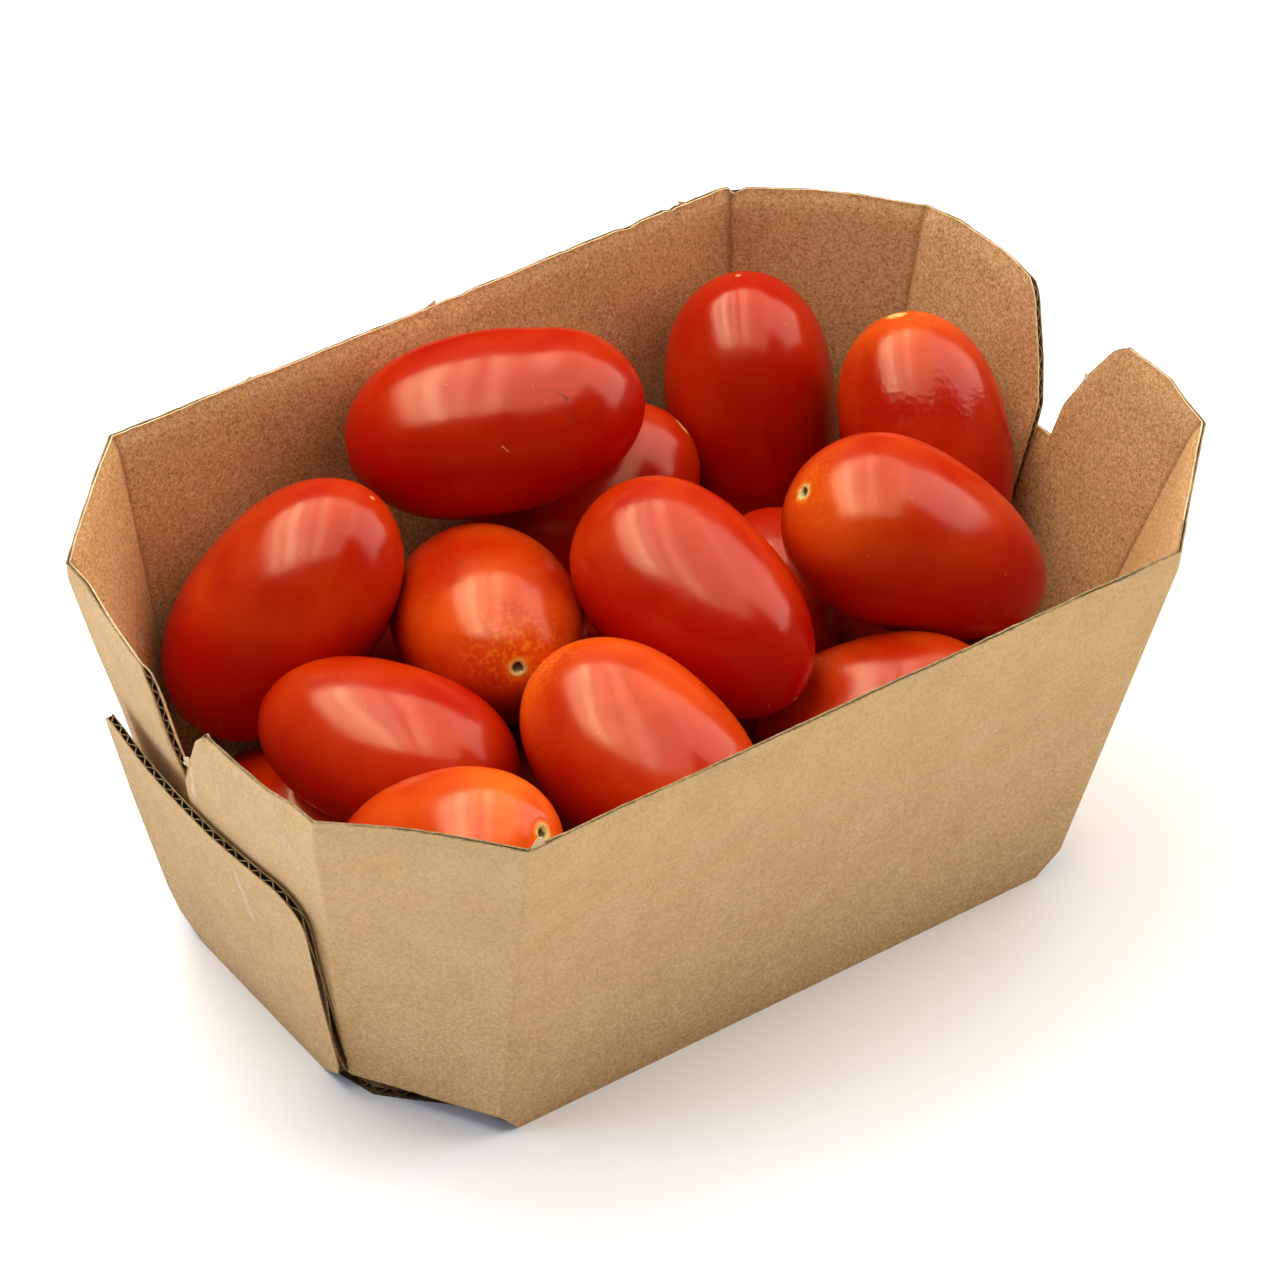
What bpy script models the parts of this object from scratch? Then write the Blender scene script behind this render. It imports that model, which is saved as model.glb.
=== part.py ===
"""Open punnet of corrugated card, folded from one blank and filled with small plum tomatoes.

Metres, +Z up. The punnet stands on Z = 0 with its long sides along X, and the origin is the
middle of its base. Sizes below are in millimetres, and MM turns them into metres.
Near is -Y, far is +Y, left is -X, right is +X.
"""

import math

import bpy
from mathutils import Vector

MM = 0.001

# The card
BOARD = 1.6
FUSE = 0.3  # how far glued layers run into each other, so that they join

# The base, and the outward lean of the walls that are hinged on it
BASE_LENGTH = 113.8
BASE_WIDTH = 72.2
SIDE_FOLD = 84.6  # length of the fold between the base and a long side
END_FOLD = 27.8  # length of the fold between the base and an end panel
BASE_CORNER = ((54.2, 21.2), (45.8, 29.2))  # the two points of each cut corner
SIDE_LEAN = math.tan(math.radians(10.2))
END_ANGLE = math.radians(14.0)
END_LEAN = math.tan(END_ANGLE)

# The long sides: each upper corner as (distance from the middle, height), as cut, and the cut
# lower corner likewise
RIM = 60.0
NEAR_LEFT_CORNER = (51.7, RIM)
NEAR_RIGHT_CORNER = (50.7, RIM)
FAR_LEFT_CORNER = (50.7, RIM)
FAR_RIGHT_CORNER = (48.8, 59.8)
SIDE_FOOT = (45.6, 4.1)
SIDE_TOP_HALF = 46.5  # where the column of quads above the end of the base fold meets the rim

# The corner panels: distance of the fold to the end flap from the middle, at the rim and at its foot
CORNER_RIM = 28.4
CORNER_FOOT = (18.6, 2.6)
RIM_ARCH = 0.8  # how far a corner panel's upper edge rises between its folds
CORNER_COLUMNS = 4

# The end flaps, as the outline of the upper edge from the fold to the free edge. The first number
# is how far the flap has come across the end, negative before the middle. The two flaps of an end
# leave a V between them.
NEAR_FLAP_RIGHT = (
    (-20.0, 61.6),
    (-11.2, 60.8),
    (-9.4, 59.3),
    (-6.5, 54.0),
    (-3.8, 47.4),
    (-3.4, 42.2),
    (7.0, 42.0),
)
FAR_FLAP_RIGHT = (
    (-22.5, 61.2),
    (-12.5, 61.2),
    (-7.4, 60.5),
    (-5.8, 59.0),
    (-1.6, 51.4),
    (0.7, 46.0),
    (1.2, 34.0),
)
NEAR_FLAP_LEFT = (
    (-19.0, 58.4),
    (-8.3, 59.1),
    (-6.8, 58.6),
    (-4.3, 55.4),
    (-1.4, 49.0),
    (-0.6, 44.5),
    (-0.5, 38.2),
    (9.0, 38.0),
)
FAR_FLAP_LEFT = (
    (-23.5, 59.4),
    (-17.4, 58.4),
    (-8.4, 57.0),
    (-7.4, 54.5),
    (-6.5, 46.0),
    (-4.4, 39.0),
    (-4.0, 34.0),
)

# The end panels, glued over the end flaps. Pairs are the near and the far upper corner.
END_SHOULDER = (19.1, 3.8)
END_HALF = 21.8
END_HEIGHT = (39.9, 39.6)
END_ROUND = (5.0, 2.0)
ROUND_STEPS = 4

# The ends bow outwards: the depth of the bow at the left and the right end, its half width, and
# the height from which it is full
END_BOW = (2.2, 1.5)
BOW_HALF = 24.0
BOW_HEIGHT = 40.0

WALL_ROWS = 5
WIDEST_COLUMN = 7.0  # a wider space between two stations gets more stations

# The fruit, as (name, middle, heading, rise, length, girth, fuller). The heading and the rise, in
# degrees, point at the stem end, and fuller says how much wider that end is than the middle.
SHOWING = (
    ("back_long", (-2.5, 28.5, 53.5), 150, -12, 39.6, 24.4, 0.02),
    ("left_leaning", (-36.9, 26.3, 39.0), 163, -54, 39.7, 25.0, 0.02),
    ("end_on", (-15.8, 10.2, 38.2), 247, 22, 35.2, 24.4, -0.02),
    ("back_upright", (39.9, 27.1, 38.2), 261, -70, 38.2, 23.0, -0.07),
    ("right_upright", (51.0, 4.0, 43.4), 85, 57, 35.4, 22.2, 0.04),
    ("right_near", (35.2, -14.3, 45.5), 154, 33, 39.2, 23.9, 0.21),
    ("middle", (3.5, -7.8, 46.3), 104, 21, 36.5, 23.7, 0.09),
    ("under_back", (11.7, 27.4, 32.0), 350, 36, 36.6, 23.2, 0.0),
    ("left_near", (-39.1, -0.7, 36.4), 117, -3, 35.5, 21.8, -0.04),
    ("front", (-16.3, -23.7, 40.6), 105, 21, 35.5, 24.4, 0.0),
    ("front_corner", (-47.4, -25.2, 41.2), 296, 39, 33.6, 21.8, 0.0),
    ("front_low", (21.1, -26.1, 29.9), 142, -27, 33.6, 23.2, 0.04),
)
BENEATH = (
    ("low_left_near", (-43.9, -16.4, 15.8), 272, 20, 34.4, 21.8, 0.0),
    ("low_left_mid", (-21.4, 1.6, 14.9), 202, 25, 35.2, 22.2, 0.0),
    ("low_left_far", (-18.7, 25.2, 16.3), 187, 11, 35.2, 22.2, 0.0),
    ("low_front", (-18.0, -23.4, 14.7), 326, 23, 35.2, 22.2, 0.0),
    ("low_mid", (0.2, -9.6, 18.4), 152, 58, 35.2, 21.8, 0.0),
    ("low_right_near", (43.0, -20.5, 17.2), 256, 48, 34.4, 22.2, 0.0),
    ("low_right_far", (26.0, 20.5, 14.3), 283, 27, 32.0, 21.0, 0.0),
    ("low_right_mid", (23.7, -9.2, 12.5), 89, 10, 30.4, 20.2, 0.0),
    ("low_right_end", (45.2, 7.2, 18.0), 257, 13, 30.4, 20.2, 0.0),
    ("low_left_end", (-43.8, 13.4, 14.7), 270, 29, 32.0, 20.6, 0.0),
    ("low_back", (5.6, 11.6, 15.2), 330, 44, 30.4, 20.2, 0.0),
    ("gap_right", (23.4, 0.6, 29.6), 50, 10, 30.2, 19.2, 0.0),
)
BLUNTNESS = 2.35  # 2 is an ellipsoid, and more is blunter
FRUIT_AROUND = 16
FRUIT_ALONG = 10

# The core of the heap, as rings of (height, half length, half width, and the half length and the
# half width at which the corner is cut)
CORE_RINGS = (
    (2.2, 48.5, 32.0, 40.0, 22.0),
    (14.0, 51.0, 34.0, 42.0, 24.0),
    (17.0, 46.0, 29.0, 37.0, 20.0),
)
PEG_RADIUS = (7.0, 3.5)  # of the peg of core below each upper fruit: at the core, and in the fruit
PEG_FOOT = 13.0
PEG_INWARD = 0.8  # a peg's foot stands this much of the fruit's distance from the middle
PEG_SIDES = 8
UPPER_FRUIT = 25.0  # a fruit whose middle lies higher stands on a peg


def clear_scene():
    for obj in list(bpy.data.objects):
        bpy.data.objects.remove(obj, do_unlink=True)


def material(name, colour, roughness):
    """A Principled material, from a linear colour."""
    made = bpy.data.materials.new(name)
    made.use_nodes = True
    shader = made.node_tree.nodes["Principled BSDF"]
    shader.inputs["Base Color"].default_value = (*colour, 1.0)
    shader.inputs["Roughness"].default_value = roughness
    shader.inputs["Metallic"].default_value = 0.0
    return made


def add_mesh(name, points, faces):
    """An object in the scene from points in millimetres and faces that index them."""
    mesh = bpy.data.meshes.new(name)
    mesh.from_pydata([Vector(point) * MM for point in points], [], faces)
    mesh.update()
    obj = bpy.data.objects.new(name, mesh)
    bpy.context.scene.collection.objects.link(obj)
    return obj


def fuse(name, pieces, solver, finish):
    """One object that is the union of the pieces, which are removed."""
    group = bpy.data.collections.new(name + "_pieces")
    bpy.context.scene.collection.children.link(group)
    first, *others = pieces
    for piece in others:
        bpy.context.scene.collection.objects.unlink(piece)
        group.objects.link(piece)
    union = first.modifiers.new("union", "BOOLEAN")
    union.operation = "UNION"
    union.operand_type = "COLLECTION"
    union.collection = group
    union.solver = solver
    bpy.context.view_layer.update()
    joined = bpy.data.meshes.new_from_object(first.evaluated_get(bpy.context.evaluated_depsgraph_get()))
    joined.name = name
    joined.materials.clear()
    joined.materials.append(finish)
    for piece in pieces:
        bpy.data.objects.remove(piece, do_unlink=True)
    bpy.data.collections.remove(group)
    result = bpy.data.objects.new(name, joined)
    bpy.context.scene.collection.objects.link(result)
    return result


def end_face(height, layers):
    """Distance along X of the face that lies so many layers inside an end panel's outer face."""
    return BASE_LENGTH / 2 + END_LEAN * height - layers * (BOARD / math.cos(END_ANGLE) - FUSE)


def side_face(height):
    return BASE_WIDTH / 2 + SIDE_LEAN * height


def bowed(point):
    """The point of a wall moved out with the bow of its end, which is nothing beside the long sides."""
    depth = END_BOW[0] if point.x < 0 else END_BOW[1]
    across = max(0.0, 1 - (point.y / BOW_HALF) ** 2)
    rise = math.sin(math.pi / 2 * min(1.0, point.z / BOW_HEIGHT))
    return point + Vector((math.copysign(depth * across * rise, point.x), 0.0, 0.0))


def card(name, stations):
    """A folded strip of card, through stations of (low, high) points of its outer face.

    They are in the order for which along x up points out. The inner face lies one board inwards,
    mitred at the folds.
    """
    outer = []
    for low, high in stations:
        outer.append([bowed(low.lerp(high, row / WALL_ROWS)) for row in range(WALL_ROWS + 1)])
    last = len(stations) - 1

    def facing(column, row):
        """Unit normal of the quads between this column and the next, at this row."""
        here, there = outer[column], outer[column + 1]
        low, high = max(row - 1, 0), min(row + 1, WALL_ROWS)
        along = (there[row] - here[row]).normalized()
        up = (here[high] - here[low]) + (there[high] - there[low])
        return along.cross(up).normalized()

    points = [point for column in outer for point in column]
    for column in range(last + 1):
        for row in range(WALL_ROWS + 1):
            before = facing(max(column - 1, 0), row)
            after = facing(min(column, last - 1), row)
            mitre = (before + after) / (1 + before.dot(after))
            points.append(outer[column][row] - mitre * BOARD)
    inside = (last + 1) * (WALL_ROWS + 1)

    def at(column, row, layer):
        return layer * inside + column * (WALL_ROWS + 1) + row

    faces = []
    for column in range(last):
        for row in range(WALL_ROWS):
            beside, above = column + 1, row + 1
            corners = ((column, row), (beside, row), (beside, above), (column, above))
            faces.append([at(c, r, 0) for c, r in corners])
            faces.append([at(c, r, 1) for c, r in reversed(corners)])
        beside, top = column + 1, WALL_ROWS
        faces.append([at(column, 0, 0), at(column, 0, 1), at(beside, 0, 1), at(beside, 0, 0)])
        faces.append([at(column, top, 0), at(beside, top, 0), at(beside, top, 1), at(column, top, 1)])
    for row in range(WALL_ROWS):
        faces.append([at(0, row, 0), at(0, row + 1, 0), at(0, row + 1, 1), at(0, row, 1)])
        faces.append([at(last, row, 0), at(last, row, 1), at(last, row + 1, 1), at(last, row + 1, 0)])
    return add_mesh(name, points, faces)


def closer(outline):
    """The outline with more points between those that are further apart than a column may be wide."""
    found = [outline[0]]
    for before, after in zip(outline, outline[1:]):
        parts = math.ceil(abs(after[0] - before[0]) / WIDEST_COLUMN)
        for part in range(1, parts + 1):
            share = part / parts
            found.append(tuple(a + (b - a) * share for a, b in zip(before, after)))
    return found


def flap_foot(reach):
    """Where the quads under a point of a flap's upper edge meet its lower edge.

    The fold leans, and the free edge doesn't.
    """
    straight = -10.0
    if reach >= straight:
        return reach
    part = (reach + CORNER_RIM) / (straight + CORNER_RIM)
    return -CORNER_FOOT[0] + part * (straight + CORNER_FOOT[0])


def flap_stations(outline, layers):
    """Stations of the right-hand end flap of the near long side, from its fold to its free edge."""
    found = []
    foot = CORNER_FOOT[1]
    for reach, height in closer(((-CORNER_RIM, RIM), *outline)):
        low = Vector((end_face(foot, layers), flap_foot(reach), foot))
        high = Vector((end_face(height, layers), reach, height))
        found.append((low, high))
    return found


def corner_stations(side, fold):
    """Stations between a long side and the fold of its right-hand end flap, leaving out both folds."""
    side_low, side_high = side
    found = []
    for step in range(1, CORNER_COLUMNS):
        part = step / CORNER_COLUMNS
        high = side_high.lerp(fold[1], part)
        high.z += RIM_ARCH * math.sin(math.pi * part)
        found.append((side_low.lerp(fold[0], part), high))
    return found


def half_side(corner):
    """Stations of the right half of the near long side, up to its fold, from its upper corner."""
    half, rim = corner
    foot, lift = SIDE_FOOT
    return [
        (Vector((SIDE_FOLD / 2, -side_face(0.0), 0.0)), Vector((SIDE_TOP_HALF, -side_face(RIM), RIM))),
        (Vector((foot, -side_face(lift), lift)), Vector((half, -side_face(rim), rim))),
    ]


def turned_over(stations, axis):
    """The stations mirrored along an axis, in the order that keeps their outer face out."""
    found = []
    for low, high in reversed(stations):
        low, high = low.copy(), high.copy()
        low[axis] *= -1
        high[axis] *= -1
        found.append((low, high))
    return found


def long_side(name, far, left, right, layers):
    """A long side with its two corner panels and end flaps, as one strip.

    Left and right are its upper corner and the outline of its flap at that end.
    """
    halves = []
    for corner, outline in (left, right):
        side = half_side(corner)
        flap = flap_stations(outline, layers)
        halves.append([*side, *corner_stations(side[-1], flap[0]), *flap])
    stations = [*turned_over(halves[0], 0), *halves[1]]
    if far:
        stations = turned_over(stations, 1)
    return card(name, stations)


def end_panel(name, left):
    """An end panel. Its side edges lean out and its upper corners are round."""
    fold_parts = 4
    stops = [END_FOLD * (part / fold_parts - 0.5) for part in range(fold_parts + 1)]
    for side, radius in zip((-1, 1), END_ROUND):
        stops.append(side * END_SHOULDER[0])
        for step in range(ROUND_STEPS + 1):
            turn = math.pi / 2 * step / ROUND_STEPS
            stops.append(side * (END_HALF - radius + radius * math.sin(turn)))
    stations = []
    for stop in sorted(stops):
        along = (stop + END_HALF) / (2 * END_HALF)
        corner = END_HEIGHT[0] + (END_HEIGHT[1] - END_HEIGHT[0]) * along
        radius = END_ROUND[0] if stop < 0 else END_ROUND[1]
        into_round = max(0.0, abs(stop) - (END_HALF - radius))
        high = corner - radius + math.sqrt(max(0.0, radius**2 - into_round**2))
        low = 0.0
        if abs(stop) > END_SHOULDER[0]:
            part = (abs(stop) - END_SHOULDER[0]) / (END_HALF - END_SHOULDER[0])
            low = END_SHOULDER[1] + part * (corner - radius - 1.0 - END_SHOULDER[1])
        elif abs(stop) > END_FOLD / 2:
            low = END_SHOULDER[1] * (abs(stop) - END_FOLD / 2) / (END_SHOULDER[0] - END_FOLD / 2)
        stations.append((Vector((end_face(low, 0), stop, low)), Vector((end_face(high, 0), stop, high))))
    if left:
        stations = turned_over(stations, 0)
    return card(name, stations)


def base_board():
    """The base: a flat board with cut corners. Its edges at the folds lie just inside the walls."""
    corner = (
        (BASE_LENGTH / 2 - 2 * FUSE, END_FOLD / 2),
        *BASE_CORNER,
        (SIDE_FOLD / 2, BASE_WIDTH / 2 - 2 * FUSE),
    )
    outline = list(corner)
    outline += [(-x, y) for x, y in reversed(corner)]
    outline += [(-x, -y) for x, y in corner]
    outline += [(x, -y) for x, y in reversed(corner)]
    count = len(outline)
    points = [(x, y, z) for z in (0.0, BOARD) for x, y in outline]
    faces = [list(reversed(range(count))), list(range(count, 2 * count))]
    for start in range(count):
        end = (start + 1) % count
        faces.append([start, end, end + count, start + count])
    return add_mesh("base_board", points, faces)


def make_punnet():
    finish = material("kraft_card", (0.42, 0.28, 0.14), 0.85)
    pieces = [
        base_board(),
        long_side(
            "near_side",
            False,
            (NEAR_LEFT_CORNER, NEAR_FLAP_LEFT),
            (NEAR_RIGHT_CORNER, NEAR_FLAP_RIGHT),
            1,
        ),
        long_side(
            "far_side",
            True,
            (FAR_LEFT_CORNER, FAR_FLAP_LEFT),
            (FAR_RIGHT_CORNER, FAR_FLAP_RIGHT),
            2,
        ),
        end_panel("left_end", True),
        end_panel("right_end", False),
    ]
    return fuse("punnet", pieces, "EXACT", finish)


def fruit(name, middle, heading, rise, length, girth, fuller):
    """A plum-shaped fruit, turned about its own axis."""
    turn, lift = math.radians(heading), math.radians(rise)
    axis = Vector((math.cos(turn) * math.cos(lift), math.sin(turn) * math.cos(lift), math.sin(lift)))
    across = axis.orthogonal().normalized()
    over = axis.cross(across)
    middle = Vector(middle)
    points = []
    for ring in range(1, FRUIT_ALONG):
        along = -math.cos(math.pi * ring / FRUIT_ALONG)
        radius = girth / 2 * math.sqrt(1 - abs(along) ** BLUNTNESS) * (1 + fuller * along)
        for step in range(FRUIT_AROUND):
            angle = 2 * math.pi * step / FRUIT_AROUND
            out = across * math.cos(angle) + over * math.sin(angle)
            points.append(middle + axis * (along * length / 2) + out * radius)
    rings = FRUIT_ALONG - 1
    points += [middle - axis * (length / 2), middle + axis * (length / 2)]
    tail, head = rings * FRUIT_AROUND, rings * FRUIT_AROUND + 1
    faces = []
    for step in range(FRUIT_AROUND):
        beside = (step + 1) % FRUIT_AROUND
        faces.append([tail, beside, step])
        top = (rings - 1) * FRUIT_AROUND
        faces.append([head, top + step, top + beside])
        for ring in range(rings - 1):
            low = ring * FRUIT_AROUND
            high = low + FRUIT_AROUND
            faces.append([low + step, low + beside, high + beside, high + step])
    return add_mesh(name, points, faces)


def core():
    """The lump that carries the heap, narrower than the punnet and hidden below the fruit."""
    points = []
    for height, long, wide, cut_long, cut_wide in CORE_RINGS:
        quarter = ((long, cut_wide), (cut_long, wide))
        ring = list(quarter)
        ring += [(-x, y) for x, y in reversed(quarter)]
        ring += [(-x, -y) for x, y in quarter]
        ring += [(x, -y) for x, y in reversed(quarter)]
        points += [(x, y, height) for x, y in ring]
    sides = 8
    faces = [list(reversed(range(sides)))]
    for level in range(len(CORE_RINGS) - 1):
        for start in range(sides):
            end = (start + 1) % sides
            low, high = level * sides, (level + 1) * sides
            faces.append([low + start, low + end, high + end, high + start])
    faces.append(list(range((len(CORE_RINGS) - 1) * sides, len(CORE_RINGS) * sides)))
    return add_mesh("core", points, faces)


def peg(name, middle):
    """A tapered peg from the core up into a fruit, so that each upper fruit is joined to the heap."""
    x, y, top = middle
    points = []
    for height, inward, radius in ((PEG_FOOT, PEG_INWARD, PEG_RADIUS[0]), (top, 1.0, PEG_RADIUS[1])):
        for step in range(PEG_SIDES):
            angle = 2 * math.pi * (step + 0.5) / PEG_SIDES
            out = (radius * math.cos(angle), radius * math.sin(angle))
            points.append((x * inward + out[0], y * inward + out[1], height))
    faces = [list(reversed(range(PEG_SIDES))), list(range(PEG_SIDES, 2 * PEG_SIDES))]
    for start in range(PEG_SIDES):
        end = (start + 1) % PEG_SIDES
        faces.append([start, end, end + PEG_SIDES, start + PEG_SIDES])
    return add_mesh(name, points, faces)


def make_heap():
    finish = material("tomato_skin", (0.52, 0.018, 0.008), 0.2)
    pieces = [core()]
    for name, middle, *size in SHOWING + BENEATH:
        pieces.append(fruit(name, middle, *size))
        if middle[2] > UPPER_FRUIT:
            pieces.append(peg(name + "_peg", middle))
    heap = fuse("tomatoes", pieces, "MANIFOLD", finish)
    heap.data.shade_smooth()
    heap.data.set_sharp_from_angle(angle=math.radians(40))
    return heap


clear_scene()
make_punnet()
make_heap()
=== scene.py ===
"""The looks of an open punnet of corrugated kraft card, filled with small plum tomatoes.

The shapes below are worked out in millimetres and turned into metres as each mesh is made.
Near is -Y, far is +Y, left is -X and right is +X, as in the model that is loaded here.
"""

import math
from functools import partial

import bpy
import numpy as np
from mathutils import Matrix, Vector


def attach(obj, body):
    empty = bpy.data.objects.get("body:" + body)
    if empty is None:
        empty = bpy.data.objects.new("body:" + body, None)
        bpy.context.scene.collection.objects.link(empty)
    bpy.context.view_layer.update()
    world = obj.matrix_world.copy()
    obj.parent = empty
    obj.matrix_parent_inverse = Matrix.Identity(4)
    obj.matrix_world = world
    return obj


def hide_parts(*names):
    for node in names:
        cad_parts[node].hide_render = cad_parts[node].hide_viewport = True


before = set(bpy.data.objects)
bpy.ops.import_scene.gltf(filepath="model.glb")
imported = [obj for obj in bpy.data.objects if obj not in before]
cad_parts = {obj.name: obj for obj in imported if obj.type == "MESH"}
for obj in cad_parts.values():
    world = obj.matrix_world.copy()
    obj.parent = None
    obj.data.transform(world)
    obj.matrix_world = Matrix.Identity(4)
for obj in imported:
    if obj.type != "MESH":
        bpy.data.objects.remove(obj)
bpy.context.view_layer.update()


# ---- The base ------------------------------------------------------
# The punnet is one die-cut blank of fine corrugated board: two kraft liners with a wavy sheet
# glued between them. The base is its flat middle, with cut corners, and its flutes run lengthwise.

MM = 0.001
BOARD = 1.6
LINER = 0.22
FLUTE_PITCH = 2.3
FLUTE_SHEET = 0.18
FLUTE_STRAY = (0.30, 3.0, 7)  # how far a flute strays from its place, over what distance, and a seed
FLUTE_STEPS = 8  # how many points a flute's wave is drawn with
BASE_WIDTH = 72.2
BASE_LENGTH = 113.8
BASE_HALVES = ((13.9, 56.3), (21.2, 54.2), (29.2, 45.8), (35.5, 42.3))  # (distance across, half length)
RIM = 60.0  # the height of the long sides


def linear(code):
    """A linear colour from an sRGB hex value."""
    shares = [int(code[place : place + 2], 16) / 255 for place in (1, 3, 5)]
    return (*[s / 12.92 if s <= 0.04045 else ((s + 0.055) / 1.055) ** 2.4 for s in shares], 1.0)


def fill(made, inputs):
    """Set the inputs of a node to their values, or link them where the value is an output."""
    for name, value in inputs.items():
        if isinstance(value, bpy.types.NodeSocket):
            made.id_data.links.new(value, made.inputs[name])
        else:
            made.inputs[name].default_value = value


def node(tree, kind, inputs=None, output=0, **settings):
    """An output of a new shader node with its settings and its inputs."""
    made = tree.nodes.new("ShaderNode" + kind)
    for name, value in settings.items():
        setattr(made, name, value)
    fill(made, inputs or {})
    return made.outputs[output]


def new_material(name):
    """A new material, what adds a node to it, and its shader."""
    made = bpy.data.materials.new(name)
    made.use_nodes = True
    return made, partial(node, made.node_tree), made.node_tree.nodes["Principled BSDF"]


def marked(add, spot, colour, ragged, waver, fade, marks):
    """The colour with its marks, and a list of how strongly each of them shows.

    A mark is (start, end, reach, strength, tone): a line along which a surface is rubbed, worn or
    healed, or along which shade is painted. Its edge wavers with the ragged value, and both waver and
    fade are shares of its reach.
    """
    shown = []
    for start, end, reach, strength, tone in marks:
        run = Vector(end) - Vector(start)
        away = add("VectorMath", {0: spot, 1: start}, operation="SUBTRACT")
        per_run = run / run.length_squared
        part = add("VectorMath", {0: away, 1: per_run}, 1, operation="DOT_PRODUCT")
        part = add("Math", {0: part, 1: 1.0}, operation="MULTIPLY", use_clamp=True)
        beside = add("VectorMath", {0: run, "Scale": part}, operation="SCALE")
        off = add("VectorMath", {0: away, 1: beside}, 1, operation="DISTANCE")
        off = add("Math", {0: ragged, 1: waver * reach, 2: off}, operation="MULTIPLY_ADD")
        mark = add("MapRange", {0: off, 1: fade * reach, 2: reach, 3: 0.0, 4: strength})
        colour = add("Mix", {0: mark, 6: colour, 7: linear(tone)}, 2, data_type="RGBA")
        shown.append(mark)
    return colour, shown


def kraft(name, paper, dark, pale, fibre_strength, fineness=1.0, foot_shade=0.0, crease_shade=0.0, marks=()):
    """Kraft paper, pressed from unbleached wood pulp: matt, blotchy and full of short fibres.

    Fibres are about 1 mm long and drawn 0.1 mm wide, coarser than real ones, so that they show.
    """
    made, add, shader = new_material(name)
    place = add("TexCoord", output="Object")
    spot = add("VectorMath", {0: place, "Scale": 1 / MM}, operation="SCALE")
    # Blotches about 6 mm across, and a fine grain
    blotch = add("TexNoise", {"Vector": spot, "Scale": 0.16, "Detail": 3.0, "Roughness": 0.6})
    blotch = add("MapRange", {0: blotch, 1: 0.3, 2: 0.7})
    grain = add("TexNoise", {"Vector": spot, "Scale": 2.2, "Detail": 2.0, "Roughness": 0.7})
    colours = {6: linear(paper[0]), 7: linear(paper[1])}
    colour = add("Mix", {0: blotch, **colours}, 2, data_type="RGBA")
    relief = grain
    # Dark fibres and then pale ones, each with flecks of the same pulp
    for offset, tone, width, strength in ((0.0, dark, 0.10, 1.0), (40.0, pale, 0.08, 0.9)):
        moved = add("VectorMath", {0: spot, 1: (offset, offset, offset)}, operation="ADD")
        curl = {"Scale": 1.1 * fineness, "Detail": 2.0, "Roughness": 0.55, "Distortion": 1.3}
        wriggle = add("TexNoise", {"Vector": moved, **curl})
        away = add("Math", {0: wriggle, 1: 0.5}, operation="SUBTRACT")
        away = add("Math", {0: away}, operation="ABSOLUTE")
        line = add("MapRange", {0: away, 1: width, 2: 0.0})
        bits = add("TexNoise", {"Vector": moved, "Scale": 1.3 * fineness, "Detail": 1.0})
        bits = add("MapRange", {0: bits, 1: 0.42, 2: 0.56})
        fibre = add("Math", {0: line, 1: bits}, operation="MULTIPLY")
        share = add("Math", {0: fibre, 1: fibre_strength * strength}, operation="MULTIPLY")
        colour = add("Mix", {0: share, 6: colour, 7: linear(tone)}, 2, data_type="RGBA")
        relief = add("Math", {0: relief, 1: fibre}, operation="ADD")
        fleck = add("TexVoronoi", {"Vector": moved, "Scale": 0.36}, feature="F1")
        chosen = add("SeparateColor", {0: fleck.node.outputs["Color"]})
        chosen = add("MapRange", {0: chosen, 1: 0.5, 2: 1.0, 3: 0.0, 4: fibre_strength})
        fleck = add("MapRange", {0: fleck, 1: 0.09, 2: 0.05})
        fleck = add("Math", {0: fleck, 1: chosen}, operation="MULTIPLY")
        colour = add("Mix", {0: fleck, 6: colour, 7: linear(tone)}, 2, data_type="RGBA")
    if foot_shade:  # painted shade: darker and grainier towards the foot
        low = add("SeparateXYZ", {0: spot}, 2)
        low = add("MapRange", {0: low, 1: RIM, 2: 0.0, 3: 0.0, 4: foot_shade})
        speckle = add("MapRange", {0: grain, 1: 0.36, 2: 0.64, 3: 1.6, 4: 0.4})
        shade = add("Math", {0: low, 1: speckle}, operation="MULTIPLY")
        colour = add("Mix", {0: shade, 6: colour, 7: linear(dark)}, 2, data_type="RGBA")
    if crease_shade:  # painted shade: dark along the folds
        fold = add("Attribute", output="Fac", attribute_name="crease")
        fold = add("MapRange", {0: fold, 1: 0.2, 2: 1.0, 3: 0.0, 4: crease_shade})
        colour = add("Mix", {0: fold, 6: colour, 7: linear(dark)}, 2, data_type="RGBA")
    if marks:
        wear = add("TexNoise", {"Vector": spot, "Scale": 0.8, "Detail": 3.0})
        colour, _ = marked(add, spot, colour, wear, 3.0, 2.4, marks)
    bump = add("Bump", {"Height": relief, "Strength": 0.5, "Distance": 0.05 * MM})
    fill(shader, {"Base Color": colour, "Normal": bump})
    fill(shader, {"Roughness": 0.85, "IOR": 1.5, "Specular IOR Level": 0.2})
    return made


# The smooth face, which is outside: pale, calendered and quite even, rubbed at the left end, with painted
# shade towards its foot.
OUTER_MARKS = (
    ((-70.1, -2.2, 49.0), (-68.5, -0.6, 42.8), 0.7, 0.55, "#f4ead8"),
    ((-68.1, -8.7, 37.3), (-65.4, -9.3, 27.5), 0.7, 0.38, "#e6d8d8"),
    ((-69.0, -20.0, 51.3), (-68.7, -21.4, 50.2), 1.4, 0.25, "#e6d8d8"),
    ((-66.0, -18.0, 20.0), (-64.5, -14.0, 13.0), 1.4, 0.20, "#e6d8d8"),
)
OUTER_KRAFT = kraft(
    "kraft_liner_outer", ("#dab584", "#d0a976"), "#8a6840", "#f0d8ae", 0.26, 1.2, 0.42, 0.0, OUTER_MARKS
)
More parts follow.
